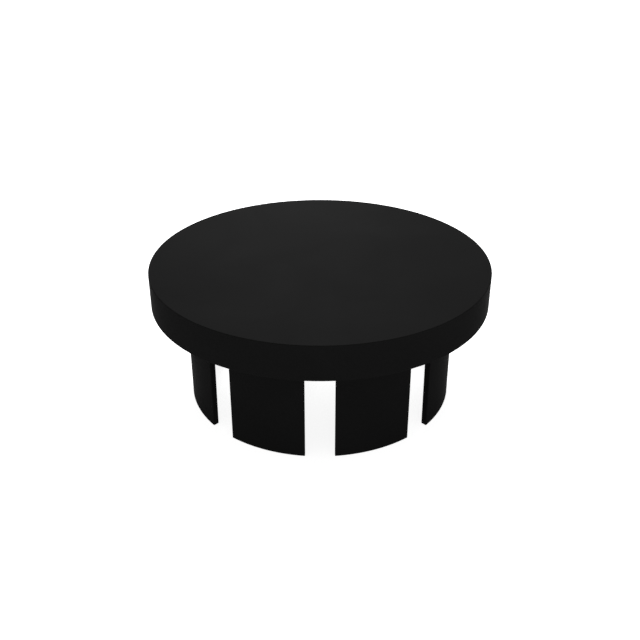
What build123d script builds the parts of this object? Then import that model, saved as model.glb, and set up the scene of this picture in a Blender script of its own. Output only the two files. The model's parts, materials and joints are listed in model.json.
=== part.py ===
from build123d import *

import math
import os

# Plastic hole plug, moulded in one piece: a flat round head that covers the hole, and under it
# a thin skirt, slotted into spring fingers, that is pressed into the hole and grips its edge.
# Frame: millimetres, +Z up, origin on the axis in the seat plane, where the rim of the head
# rests on the panel. The head stands above that plane and the fingers hang below it, with a
# slot centred on -Y.

# The round hole that the plug closes
hole_diameter = 50.8

# Head: a shallow inverted dish, with a flat top and a rim turned down to the panel
panel_overlap = 6.6  # how far the head reaches past the edge of the hole, all round
head_height = 6.6
top_thickness = 1.8
rim_wall = 1.6

# Skirt: a little larger than the hole, so that the fingers spring in as they enter it
radial_squeeze = 0.1
skirt_wall = 1.15
skirt_length = 20.0
skirt_root_fillet = 0.8  # where the skirt meets the underside of the top, inside and outside

# Fingers: equal slots, open at the tips and ending in the seat plane, so that the skirt
# stays a closed ring inside the head
finger_count = 8
slot_width = 5.3
slot_corner_radius = 0.8
entry_clearance = 0.05  # radial room that the bevelled tips have as they enter the hole

# Moulding details
core_draft = 0.5  # degrees, on the faces that the core leaves as it is drawn out downwards
edge_bevel = 0.15  # outer edges of the head

cutter_overrun = 2.0  # how far the slot cutter runs clear of the tips and of the outer wall

hole_radius = hole_diameter / 2
head_radius = hole_radius + panel_overlap
skirt_radius = hole_radius + radial_squeeze
tip_bevel = radial_squeeze + entry_clearance
ceiling = head_height - top_thickness
draft_slope = math.tan(math.radians(core_draft))
finger_pitch = 360 / finger_count

# The drafted faces keep their nominal wall at the open end and thicken towards the top.
rim_inner_at_seat = head_radius - rim_wall
rim_inner_at_ceiling = rim_inner_at_seat - ceiling * draft_slope
bore_at_tips = skirt_radius - skirt_wall
bore_at_ceiling = bore_at_tips - (skirt_length + ceiling) * draft_slope

# Corners of the half section, as (radius, height)
top_edge = (head_radius, head_height)
seat_edge = (head_radius, 0)
skirt_outer_root = (skirt_radius, ceiling)
tip_edge = (skirt_radius, -skirt_length)
skirt_inner_root = (bore_at_ceiling, ceiling)


def corners(outline, *places):
    """The corners of a section's outline that lie at the given (radius, height) places."""
    return [outline.vertices().sort_by_distance(place)[0] for place in places]


# Slot cutter: a flat bar from the axis out through the skirt on the -Y side, with rounded
# upper corners
with BuildPart() as slot:
    with BuildSketch(Plane.XZ) as slot_outline:
        with Locations((0, -skirt_length - cutter_overrun)):
            Rectangle(
                slot_width, skirt_length + cutter_overrun, align=(Align.CENTER, Align.MIN)
            )
        fillet(slot_outline.vertices().group_by(Axis.Y)[-1], radius=slot_corner_radius)
    extrude(amount=skirt_radius + cutter_overrun)

# Plug: the half section turned about the axis, then the slots cut at equal angles. The
# section stands in the middle of a finger, so that no slot cuts the seam of the turned walls.
section_plane = Plane.XZ.rotated((0, 0, finger_pitch / 2))
with BuildPart() as plug:
    with BuildSketch(section_plane) as section:
        with BuildLine():
            Polyline(
                (0, ceiling),
                (0, head_height),
                top_edge,
                seat_edge,
                (rim_inner_at_seat, 0),
                (rim_inner_at_ceiling, ceiling),
                skirt_outer_root,
                tip_edge,
                (bore_at_tips, -skirt_length),
                skirt_inner_root,
                close=True,
            )
        make_face()
        fillet(corners(section, skirt_outer_root, skirt_inner_root), radius=skirt_root_fillet)
        chamfer(corners(section, top_edge, seat_edge), length=edge_bevel)
        chamfer(corners(section, tip_edge), length=tip_bevel)
    revolve(axis=Axis.Z)
    with PolarLocations(0, finger_count):
        add(slot.part, mode=Mode.SUBTRACT)

plug.part.label = "hole_plug"
os.makedirs("parts", exist_ok=True)
export_step(plug.part, "parts/hole_plug.step")
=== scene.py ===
import json
import math

import bmesh
import bpy
import numpy as np
from bpy.props import (
    FloatProperty,
    FloatVectorProperty,
    IntProperty,
    PointerProperty,
)
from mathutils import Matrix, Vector


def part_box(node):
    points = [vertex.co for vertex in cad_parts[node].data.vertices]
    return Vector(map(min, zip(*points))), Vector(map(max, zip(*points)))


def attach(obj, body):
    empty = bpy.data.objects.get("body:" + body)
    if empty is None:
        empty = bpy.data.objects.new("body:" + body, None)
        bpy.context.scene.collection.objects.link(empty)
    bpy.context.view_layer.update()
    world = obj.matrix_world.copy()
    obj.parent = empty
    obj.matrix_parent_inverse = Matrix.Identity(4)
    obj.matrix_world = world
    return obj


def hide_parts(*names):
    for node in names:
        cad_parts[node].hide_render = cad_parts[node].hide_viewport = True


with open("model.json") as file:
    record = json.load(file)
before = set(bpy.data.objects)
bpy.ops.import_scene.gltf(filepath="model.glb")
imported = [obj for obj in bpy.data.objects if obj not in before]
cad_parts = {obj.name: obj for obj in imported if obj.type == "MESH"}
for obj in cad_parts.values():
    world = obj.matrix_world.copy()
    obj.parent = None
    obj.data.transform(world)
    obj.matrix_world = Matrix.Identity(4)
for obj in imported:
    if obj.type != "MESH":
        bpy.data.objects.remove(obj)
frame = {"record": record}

bl_info = {
    "name": "Moulded Hole Plug",
    "version": (1, 0, 0),
    "blender": (4, 5, 0),
    "location": "3D View > Sidebar > Hole Plug",
    "description": "A one-piece plastic plug for a round hole in a panel, on a plain studio floor",
    "category": "Add Mesh",
}

MM = 0.001
NODE = "hole_plug"

# Fineness of the plug's skin: steps over a finger, over a slot, over a rounded corner and over
# an edge of a finger, and the longest side of a cell down the walls
FINGER_STEPS = 24
SLOT_STEPS = 6
CORNER_STEPS = 8
EDGE_STEPS = 5
LONGEST_SIDE = 2 * MM
MERGE_DISTANCE = 0.001 * MM
SHARP_ANGLE = math.radians(35)  # edges that turn by more stay crisp

# The flow marks and the grain are noise. The plastic turns from its own tone to the flow
# marks' tone between the two flow levels.
FLOW_LOW, FLOW_HIGH = 0.3, 0.7
FLOW_DETAIL = 3.0
FLOW_DISTORTION = 0.8
GRAIN_DETAIL = 2.0

# Stage, in metres. The back lamp gives the top its sheen, and the low front one fills the rim.
BACK_LAMP_PLACE = (-0.02, 0.40, 0.26)
BACK_LAMP_SIZE = (0.14, 0.22)
FRONT_LAMP_PLACE = (0.05, -0.45, 0.06)
FRONT_LAMP_SIZE = (0.20, 0.12)
CAMERA_CLIP = 0.01  # the camera sees nothing nearer than this
FLOOR_SIDES = 128

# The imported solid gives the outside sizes: the seat of the head lies in the plane z = 0, the
# head stands above it and the fingers hang below it, with a slot centred on -Y.
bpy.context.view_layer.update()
PLUG_LOW, PLUG_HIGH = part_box(NODE)
MOUNTS = {mount["name"]: mount for mount in frame["record"]["mounts"]}
HEAD_RADIUS = min(PLUG_HIGH.x, PLUG_HIGH.y)
SKIRT_RADIUS = MOUNTS["skirt"]["dims"]["r_mm"] * MM


# ---------------------------------------------------------------------------------------
# Settings


def length(name, description, default):
    """A length property in metres."""
    return FloatProperty(
        name=name, description=description, default=default, min=0.0, precision=5, unit="LENGTH"
    )


def angle(name, description, degrees):
    """An angle property, given in degrees."""
    return FloatProperty(
        name=name, description=description, default=math.radians(degrees), subtype="ANGLE"
    )


def factor(name, description, default):
    """A property between 0 and 1."""
    return FloatProperty(
        name=name, description=description, default=default, min=0.0, max=1.0, subtype="FACTOR"
    )


def power(name, description, watts):
    """The power of a lamp."""
    return FloatProperty(name=name, description=description, default=watts, min=0.0, unit="POWER")


def colour(name, description, level):
    """A grey colour property, given as its linear level."""
    return FloatVectorProperty(
        name=name,
        description=description,
        subtype="COLOR",
        size=3,
        min=0.0,
        max=1.0,
        default=(level, level, level),
    )


class PlugSizes(bpy.types.PropertyGroup):
    """Sizes of the plug"""

    head_radius: length("Head radius", "Outer radius of the head", HEAD_RADIUS)
    head_height: length("Head height", "Height of the flat top over the seat", PLUG_HIGH.z)
    top_thickness: length("Top thickness", "Thickness of the flat top", 1.8 * MM)
    rim_wall: length("Rim wall", "Thickness of the turned-down rim at the seat", 1.6 * MM)
    skirt_radius: length("Skirt radius", "Outer radius of the skirt", SKIRT_RADIUS)
    skirt_wall: length("Skirt wall", "Thickness of the fingers at their tips", 1.15 * MM)
    skirt_length: length("Skirt length", "Length of the fingers under the seat", -PLUG_LOW.z)
    slot_width: length("Slot width", "Width of the slots between the fingers", 5.3 * MM)
    slot_corner: length("Slot corner", "Radius of the slots' upper corners", 0.8 * MM)
    root_radius: length("Root radius", "Fillets where the skirt meets the top", 0.8 * MM)
    edge_radius: length("Edge radius", "Rounding of the outer edges", 0.15 * MM)
    core_draft: angle("Core draft", "Taper of the walls that the core leaves", 0.5)
    fingers: IntProperty(name="Fingers", description="Number of fingers", default=8, min=2)


class PlugFinish(bpy.types.PropertyGroup):
    """Colour and surface of the moulded plastic"""

    plastic: colour("Plastic", "Colour of the plastic", 0.0128)
    flow_tone: colour("Flow tone", "Paler tone of the faint cloudy flow marks", 0.0140)
    flow_size: length("Flow size", "Size of the faint cloudy flow marks", 18 * MM)
    specular: factor("Specular", "Specular level of the plastic", 0.0006)
    roughness: factor("Roughness", "Roughness of the fine moulded faces", 0.5)
    polish: factor("Polish", "How far the flow marks change the roughness each way", 0.02)
    grain: length("Grain", "Size of the fine moulded grain", 0.3 * MM)
    grain_depth: length("Grain depth", "Depth of the fine moulded grain", 0.008 * MM)


class StageSettings(bpy.types.PropertyGroup):
    """Floor, light and camera"""

    background: colour("Background", "Colour of the background", 1.0)
    floor_glow: factor("Floor glow", "Share of the floor's white that shadows leave", 0.88)
    floor_grey: factor("Floor grey", "Reflectance of the floor", 0.8)
    floor_bounce: factor("Floor bounce", "Level of the soft light from the floor", 0.15)
    floor_radius: length("Floor radius", "Radius of the floor", 3.0)
    ambient: factor("Ambient", "Level of the soft light from all round", 0.28)
    back_lamp: power("Back lamp", "Power of the lamp behind the plug", 3.0)
    front_lamp: power("Front lamp", "Power of the low lamp that fills the front", 0.15)
    lens: FloatProperty(
        name="Lens", description="Focal length", default=48.7, min=1.0, unit="CAMERA"
    )
    camera_distance: length("Distance", "From the aim point to the camera", 169.5 * MM)
    camera_elevation: angle("Elevation", "Height of the camera over the horizon", 28.65)
    aim_below_seat: length("Aim", "How far the aim point lies below the seat", 6.25 * MM)


# ---------------------------------------------------------------------------------------
# Surfaces


def rounded_outline(corners, radii, steps):
    """Open outline through corners, with each inner corner rounded by its own radius.

    At a corner P whose two sides leave it along the unit vectors u and v, half their angle is
    h. The arc of radius r touches both sides at r / tan(h) from P, and its centre lies at
    r / sin(h) from P along their bisector. Its points turn evenly from one touching point to
    the other.
    """
    corners = np.asarray(corners, float)
    radii = np.asarray(radii, float)[:, None]
    here = corners[1:-1]
    before = corners[:-2] - here
    after = corners[2:] - here
    before /= np.linalg.norm(before, axis=1, keepdims=True)
    after /= np.linalg.norm(after, axis=1, keepdims=True)
    half = np.arccos(np.clip(np.sum(before * after, axis=1), -1, 1))[:, None] / 2
    bisector = before + after
    bisector /= np.linalg.norm(bisector, axis=1, keepdims=True)
    centre = here + bisector * radii / np.sin(half)
    start = here + before * radii / np.tan(half) - centre
    end = here + after * radii / np.tan(half) - centre
    turn = (np.pi - 2 * half)[:, None]
    share = np.linspace(0, 1, steps + 1)[None, :, None]
    arcs = np.sin((1 - share) * turn) * start[:, None] + np.sin(share * turn) * end[:, None]
    arcs = centre[:, None] + arcs / np.sin(turn)
    return np.vstack([corners[:1], arcs.reshape(-1, 2), corners[-1:]])


def divided(outline, longest):
    """The outline with its longer sides cut into equal parts of at most the given length."""
    side = np.linalg.norm(np.diff(outline, axis=0), axis=1)
    parts = np.maximum(np.ceil(side / longest), 1).astype(int)
    first = np.repeat(np.arange(len(side)), parts)
    step = np.arange(parts.sum()) - np.repeat(np.cumsum(parts) - parts, parts)
    place = np.append(first + step / parts[first], len(side))
    index = np.arange(len(outline))
    return np.column_stack([np.interp(place, index, column) for column in outline.T])


def turned(outline, angles):
    """Surface of revolution: each (radius, height) point of the outline at each angle."""
    radius, height = outline[:, :1], outline[:, 1:]
    return np.stack(
        [radius * np.cos(angles), radius * np.sin(angles), height + 0 * angles], axis=-1
    )


def even(start, end, steps):
    """Even steps from each start to its end, along the columns of an array."""
    return start + (end - start) * np.linspace(0, 1, steps + 1)


def column_angles(corner, fingers, slot_steps, finger_steps):
    """Angles of the columns of one full turn, from the edge of the slot at -Y.

    A slot reaches the angle of its corner each side of its middle. The columns are even over
    the slot and even over the finger beside it, and the next slot follows one pitch on.
    """
    pitch = 2 * math.pi / fingers
    over_slot = even(-corner, corner, slot_steps)[:-1]
    over_finger = even(corner, pitch - corner, finger_steps)[:-1]
    sector = np.concatenate([over_slot, over_finger])
    middles = pitch * np.arange(fingers)[:, None] - math.pi / 2
    return np.append(middles + sector, 1.5 * math.pi - corner)


def arc(centre_x, centre_y, radius, angles):
    """Points at centre + radius (cos, sin) of the angles, one arc for each row."""
    x = centre_x + radius * np.cos(angles)
    y = centre_y + radius * np.sin(angles)
    return np.stack([x, y], axis=-1)


def finger_sections(outer, inner, slot_half, edge, pitch, finger_steps, edge_steps):
    """Outer wall, inner wall and closed outline of a finger's cross-sections, one for each
    row of outer and inner radius, half width of the slot beside it and edge radius.

    The slot's middle line is the X axis here, so the finger's side lies on the line y = b,
    the slot's half width. An edge of radius e touches that line and, from inside, the circle
    of the outer radius R, so its centre lies at y = b + e on the circle of radius R - e. By
    the inner wall of radius r it lies on the circle of radius r + e. The finger's far side
    mirrors this one in its middle line, at half the pitch p: (x, y) goes to
    (x cos p + y sin p, x sin p - y cos p).
    """
    level = slot_half + edge
    outer_x = np.sqrt((outer - edge) ** 2 - level**2)
    inner_x = np.sqrt((inner + edge) ** 2 - level**2)
    outer_turn = np.arctan2(level, outer_x)
    inner_turn = np.arctan2(level, inner_x)
    outer_wall = arc(0, 0, outer, even(outer_turn, pitch - outer_turn, finger_steps))
    inner_wall = arc(0, 0, inner, even(inner_turn, pitch - inner_turn, finger_steps))
    inner_edge = arc(inner_x, level, edge, even(inner_turn - np.pi, -np.pi / 2, edge_steps))
    outer_edge = arc(outer_x, level, edge, even(-np.pi / 2, outer_turn, edge_steps))
    side = np.concatenate([inner_edge, outer_edge], axis=1)
    cos, sin = math.cos(pitch), math.sin(pitch)
    far_side = side[:, ::-1] @ np.array([[cos, sin], [sin, -cos]])
    outline = [outer_wall, far_side, inner_wall[:, ::-1], side, outer_wall[:, :1]]
    return outer_wall, inner_wall, np.concatenate(outline, axis=1)


def finger_rows(sizes, longest, corner_steps, tip_steps):
    """Height, slot half width, edge radius and draw-in of a finger's rows, from the seat
    plane to the tip.

    The slot's upper corner is a quarter circle of radius c: while the height falls by
    c (1 - cos t), its half width grows by c sin t, and the finger's edges round off with it.
    At a tip of edge radius e the walls draw in by e (1 - cos t) while the height falls by
    e sin t.
    """
    edge, corner, half_width = sizes.edge_radius, sizes.slot_corner, sizes.slot_width / 2
    turn = even(0, math.pi / 2, corner_steps)
    tip_turn = even(0, math.pi / 2, tip_steps)
    tip_start = edge - sizes.skirt_length
    levels = even(-corner, tip_start, math.ceil((-corner - tip_start) / longest))[1:-1]
    draw_in = edge * (1 - np.cos(tip_turn))
    slot_top = [
        corner * (np.cos(turn) - 1),
        half_width + corner * (np.sin(turn) - 1),
        edge * np.sin(turn),
        0 * turn,
    ]
    wall = [levels, half_width + 0 * levels, edge + 0 * levels, 0 * levels]
    tip = [tip_start - edge * np.sin(tip_turn), half_width + draw_in, edge - draw_in, draw_in]
    return np.hstack([slot_top, wall, tip])[:, :, None]


def lifted(points, height):
    """Plane points at the height of their row."""
    return np.concatenate([points, np.broadcast_to(height[..., None], points[..., :1].shape)], -1)


def spun(points, angles):
    """The points turned about the Z axis by each angle, one copy after the other."""
    cos, sin = np.cos(angles)[:, None, None], np.sin(angles)[:, None, None]
    x, y, z = np.moveaxis(points, -1, 0)
    return np.stack([x * cos - y * sin, x * sin + y * cos, z + 0 * cos], axis=-1)


def plug_grids(sizes):
    """The whole skin of the plug, as grids of points whose shared borders coincide. In each
    grid the step to the next row, crossed with the step to the next column, points outwards.

    The head and its hollow are turned outlines that end in the seat plane. The slots' upper
    ends are strips from one to the other. The fingers are cross-sections carried down from
    the seat plane, each closed by a strip over its tip.
    """
    pitch = 2 * math.pi / sizes.fingers
    turns = pitch * np.arange(sizes.fingers)
    ceiling = sizes.head_height - sizes.top_thickness
    slope = math.tan(sizes.core_draft)
    edge, root = sizes.edge_radius, sizes.root_radius

    def bore(height):
        """Inner radius of the skirt: it narrows upwards from the tips by the draft."""
        return sizes.skirt_radius - sizes.skirt_wall - slope * (sizes.skirt_length + height)

    rim_inner = sizes.head_radius - sizes.rim_wall
    head_outline = rounded_outline(
        [
            (0, sizes.head_height),
            (sizes.head_radius, sizes.head_height),
            (sizes.head_radius, 0),
            (rim_inner, 0),
            (rim_inner - slope * ceiling, ceiling),
            (sizes.skirt_radius, ceiling),
            (sizes.skirt_radius, 0),
        ],
        [edge, edge, edge, edge, root],
        CORNER_STEPS,
    )
    hollow_outline = rounded_outline(
        [(bore(0), 0), (bore(ceiling), ceiling), (0, ceiling)], [root], CORNER_STEPS
    )
    slot_top = sizes.slot_width / 2 - sizes.slot_corner
    counts = (sizes.fingers, SLOT_STEPS, FINGER_STEPS)
    outer_angles = column_angles(math.asin(slot_top / sizes.skirt_radius), *counts)
    inner_angles = column_angles(math.asin(slot_top / bore(0)), *counts)
    head = turned(divided(head_outline, LONGEST_SIDE), outer_angles)
    hollow = turned(divided(hollow_outline, LONGEST_SIDE), inner_angles)
    slot_end = np.stack([head[-1], hollow[0]])[:, : SLOT_STEPS + 1]

    height, slot_half, edges, draw_in = finger_rows(sizes, LONGEST_SIDE, CORNER_STEPS, EDGE_STEPS)
    outer_wall, inner_wall, outline = finger_sections(
        sizes.skirt_radius - draw_in,
        bore(height) + draw_in,
        slot_half,
        edges,
        pitch,
        FINGER_STEPS,
        EDGE_STEPS,
    )
    finger = lifted(outline, height)
    tip = lifted(np.stack([outer_wall[-1], inner_wall[-1]]), height[-1:])
    return [
        head,
        hollow,
        *spun(slot_end, turns),
        *spun(finger, turns - math.pi / 2),
        *spun(tip, turns - math.pi / 2),
    ]


def grid_faces(rows, columns):
    """Four corners of each cell: itself, the next row, both next, the next column."""
    index = np.arange(rows * columns).reshape(rows, columns)
    corners = [index[:-1, :-1], index[1:, :-1], index[1:, 1:], index[:-1, 1:]]
    return np.stack(corners, axis=-1).reshape(-1, 4)


def new_mesh_object(name, points, faces):
    """A mesh object at the origin, in the scene."""
    mesh = bpy.data.meshes.new(name)
    mesh.from_pydata(points.tolist(), [], faces.tolist())
    body = bpy.data.objects.new(name, mesh)
    bpy.context.scene.collection.objects.link(body)
    return body


def object_from_grids(name, grids, merge_distance):
    """One mesh object from grids of points, merged where their borders coincide."""
    sizes = [grid.shape[0] * grid.shape[1] for grid in grids]
    starts = np.cumsum([0, *sizes[:-1]])
    points = np.concatenate([grid.reshape(-1, 3) for grid in grids])
    faces = [grid_faces(*grid.shape[:2]) + start for grid, start in zip(grids, starts)]
    body = new_mesh_object(name, points, np.concatenate(faces))
    merged = bmesh.new()
    merged.from_mesh(body.data)
    bmesh.ops.remove_doubles(merged, verts=merged.verts, dist=merge_distance)
    merged.to_mesh(body.data)
    merged.free()
    return body


# ---------------------------------------------------------------------------------------
# Materials


def new_node(tree, kind, **values):
    """A shader node, with the given values on the sockets of those names."""
    node = tree.nodes.new(kind)
    for name, value in values.items():
        node.inputs[name.replace("_", " ")].default_value = value
    return node


def new_material(name):
    """An empty material with its node tree and its output's surface socket."""
    material = bpy.data.materials.new(name)
    material.use_nodes = True
    tree = material.node_tree
    tree.nodes.clear()
    return material, tree, tree.nodes.new("ShaderNodeOutputMaterial").inputs["Surface"]


def plastic_material(finish):
    """Matt black moulded plastic: a fine spark-eroded grain, and faint cloudy flow marks that
    are a little paler and a little smoother.
    """
    material, tree, surface = new_material("matt_black_plastic")
    link = tree.links.new
    shader = new_node(tree, "ShaderNodeBsdfPrincipled")
    shader.inputs["Specular IOR Level"].default_value = finish.specular
    place = new_node(tree, "ShaderNodeTexCoord")

    flow = new_node(
        tree,
        "ShaderNodeTexNoise",
        Scale=1 / finish.flow_size,
        Detail=FLOW_DETAIL,
        Distortion=FLOW_DISTORTION,
    )
    link(place.outputs["Object"], flow.inputs["Vector"])
    tone = new_node(tree, "ShaderNodeValToRGB")
    tone.color_ramp.elements[0].position = FLOW_LOW
    tone.color_ramp.elements[0].color = (*finish.plastic, 1)
    tone.color_ramp.elements[1].position = FLOW_HIGH
    tone.color_ramp.elements[1].color = (*finish.flow_tone, 1)
    link(flow.outputs["Fac"], tone.inputs["Fac"])
    link(tone.outputs["Color"], shader.inputs["Base Color"])

    polish = new_node(
        tree,
        "ShaderNodeMapRange",
        From_Min=FLOW_LOW,
        From_Max=FLOW_HIGH,
        To_Min=finish.roughness + finish.polish,
        To_Max=finish.roughness - finish.polish,
    )
    link(flow.outputs["Fac"], polish.inputs["Value"])
    link(polish.outputs["Result"], shader.inputs["Roughness"])

    grain = new_node(tree, "ShaderNodeTexNoise", Scale=1 / finish.grain, Detail=GRAIN_DETAIL)
    link(place.outputs["Object"], grain.inputs["Vector"])
    bump = new_node(tree, "ShaderNodeBump", Strength=1.0, Distance=finish.grain_depth)
    link(grain.outputs["Fac"], bump.inputs["Height"])
    link(bump.outputs["Normal"], shader.inputs["Normal"])
    link(shader.outputs["BSDF"], surface)
    return material


def seen_directly(tree):
    """1 for camera, glossy and transmission rays, which see the pale background, else 0."""
    rays = new_node(tree, "ShaderNodeLightPath")
    total = rays.outputs["Is Camera Ray"]
    for name in ("Is Glossy Ray", "Is Transmission Ray"):
        add = new_node(tree, "ShaderNodeMath")
        add.operation = "ADD"
        add.use_clamp = True
        tree.links.new(total, add.inputs[0])
        tree.links.new(rays.outputs[name], add.inputs[1])
        total = add.outputs["Value"]
    return total


def floor_material(stage):
    """Pale floor that keeps a soft shadow: its glow where it is seen directly, and the softer
    bounce for the light that it throws up. It is clear from below, to show the underside.
    """
    material, tree, surface = new_material("pale_floor")
    link = tree.links.new
    grey = stage.floor_grey
    cover = new_node(tree, "ShaderNodeBsdfDiffuse", Color=(grey, grey, grey, 1))
    glow = new_node(tree, "ShaderNodeEmission", Color=(*stage.background, 1))
    level = new_node(tree, "ShaderNodeMath")
    level.operation = "MULTIPLY_ADD"
    level.inputs[1].default_value = stage.floor_glow - stage.floor_bounce
    level.inputs[2].default_value = stage.floor_bounce
    link(seen_directly(tree), level.inputs[0])
    link(level.outputs["Value"], glow.inputs["Strength"])
    lit = new_node(tree, "ShaderNodeAddShader")
    link(cover.outputs["BSDF"], lit.inputs[0])
    link(glow.outputs["Emission"], lit.inputs[1])
    side = new_node(tree, "ShaderNodeNewGeometry")
    clear = new_node(tree, "ShaderNodeBsdfTransparent")
    either = new_node(tree, "ShaderNodeMixShader")
    link(side.outputs["Backfacing"], either.inputs["Fac"])
    link(lit.outputs["Shader"], either.inputs[1])
    link(clear.outputs["BSDF"], either.inputs[2])
    link(either.outputs["Shader"], surface)
    return material


def studio_world(stage):
    """Pale background all round, and soft grey light from it."""
    world = bpy.data.worlds.new("soft_studio")
    world.use_nodes = True
    tree = world.node_tree
    tree.nodes.clear()
    link = tree.links.new
    light = new_node(tree, "ShaderNodeBackground", Strength=stage.ambient)
    light.inputs["Color"].default_value = (1, 1, 1, 1)
    pale = new_node(tree, "ShaderNodeBackground", Color=(*stage.background, 1))
    either = new_node(tree, "ShaderNodeMixShader")
    link(seen_directly(tree), either.inputs["Fac"])
    link(light.outputs["Background"], either.inputs[1])
    link(pale.outputs["Background"], either.inputs[2])
    link(either.outputs["Shader"], tree.nodes.new("ShaderNodeOutputWorld").inputs["Surface"])
    return world


# ---------------------------------------------------------------------------------------
# Lamps and camera


def aimed(name, data, place, target):
    """An object for a lamp or camera at a place, looking at a target."""
    thing = bpy.data.objects.new(name, data)
    thing.location = place
    thing.rotation_euler = (Vector(target) - Vector(place)).to_track_quat("-Z", "Y").to_euler()
    bpy.context.scene.collection.objects.link(thing)
    return thing


def softbox(name, place, size, watts):
    """A rectangular area lamp aimed at the plug, which the camera doesn't see."""
    data = bpy.data.lights.new(name, "AREA")
    data.shape = "RECTANGLE"
    data.size, data.size_y = size
    data.energy = watts
    lamp = aimed(name, data, place, (0, 0, 0))
    lamp.visible_camera = False
    return lamp


# ---------------------------------------------------------------------------------------
# Operators and panel


class MESH_OT_add_hole_plug(bpy.types.Operator):
    """Adds the moulded plug: the head, and the skirt that is slotted into spring fingers"""

    bl_idname = "mesh.add_hole_plug"
    bl_label = "Hole Plug"
    bl_options = {"REGISTER", "UNDO"}

    def execute(self, context):
        sizes = context.scene.plug_sizes
        plug = object_from_grids("moulded_plug", plug_grids(sizes), MERGE_DISTANCE)
        plug.data.materials.append(plastic_material(context.scene.plug_finish))
        plug.data.shade_smooth()
        plug.data.set_sharp_from_angle(angle=SHARP_ANGLE)
        flats = plug.modifiers.new("flat_faces_stay_flat", "WEIGHTED_NORMAL")
        flats.keep_sharp = True
        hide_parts(NODE)
        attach(plug, "root")
        return {"FINISHED"}


class SCENE_OT_add_plug_stage(bpy.types.Operator):
    """Adds the floor, the soft lamps and the camera"""

    bl_idname = "scene.add_plug_stage"
    bl_label = "Stage"
    bl_options = {"REGISTER", "UNDO"}

    def execute(self, context):
        stage = context.scene.plug_stage
        rim = arc(0, 0, stage.floor_radius, even(0, 2 * math.pi, FLOOR_SIDES)[:-1])
        points = np.column_stack([rim, np.full(len(rim), PLUG_LOW.z)])
        floor = new_mesh_object("floor", points, np.arange(len(rim))[None])
        floor.data.materials.append(floor_material(stage))

        softbox("back_lamp", BACK_LAMP_PLACE, BACK_LAMP_SIZE, stage.back_lamp)
        softbox("front_lamp", FRONT_LAMP_PLACE, FRONT_LAMP_SIZE, stage.front_lamp)
        context.scene.world = studio_world(stage)

        data = bpy.data.cameras.new("camera")
        data.lens = stage.lens
        data.clip_start = CAMERA_CLIP
        target = Vector((0, 0, -stage.aim_below_seat))
        tilt = stage.camera_elevation
        back = Vector((0, -math.cos(tilt), math.sin(tilt)))
        place = target + back * stage.camera_distance
        context.scene.camera = aimed("camera", data, place, target)
        context.scene.view_settings.view_transform = "Standard"
        return {"FINISHED"}


class VIEW3D_PT_hole_plug(bpy.types.Panel):
    """The plug's sizes, finish and stage, and the buttons that make them"""

    bl_label = "Hole Plug"
    bl_space_type = "VIEW_3D"
    bl_region_type = "UI"
    bl_category = "Hole Plug"

    def draw(self, context):
        scene = context.scene
        groups = (
            (scene.plug_sizes, "Sizes"),
            (scene.plug_finish, "Finish"),
            (scene.plug_stage, "Stage"),
        )
        for group, title in groups:
            box = self.layout.box()
            box.label(text=title)
            for name in type(group).__annotations__:
                box.prop(group, name)
        self.layout.operator(MESH_OT_add_hole_plug.bl_idname)
        self.layout.operator(SCENE_OT_add_plug_stage.bl_idname)


CLASSES = (
    PlugSizes,
    PlugFinish,
    StageSettings,
    MESH_OT_add_hole_plug,
    SCENE_OT_add_plug_stage,
    VIEW3D_PT_hole_plug,
)


def register():
    """Adds the classes, and the settings to the scene."""
    for cls in CLASSES:
        bpy.utils.register_class(cls)
    bpy.types.Scene.plug_sizes = PointerProperty(type=PlugSizes)
    bpy.types.Scene.plug_finish = PointerProperty(type=PlugFinish)
    bpy.types.Scene.plug_stage = PointerProperty(type=StageSettings)


def unregister():
    """Removes the settings and the classes."""
    del bpy.types.Scene.plug_stage
    del bpy.types.Scene.plug_finish
    del bpy.types.Scene.plug_sizes
    for cls in reversed(CLASSES):
        bpy.utils.unregister_class(cls)


def main():
    """Builds the plug and its stage."""
    register()
    bpy.ops.mesh.add_hole_plug()
    bpy.ops.scene.add_plug_stage()


if __name__ == "__main__":
    main()
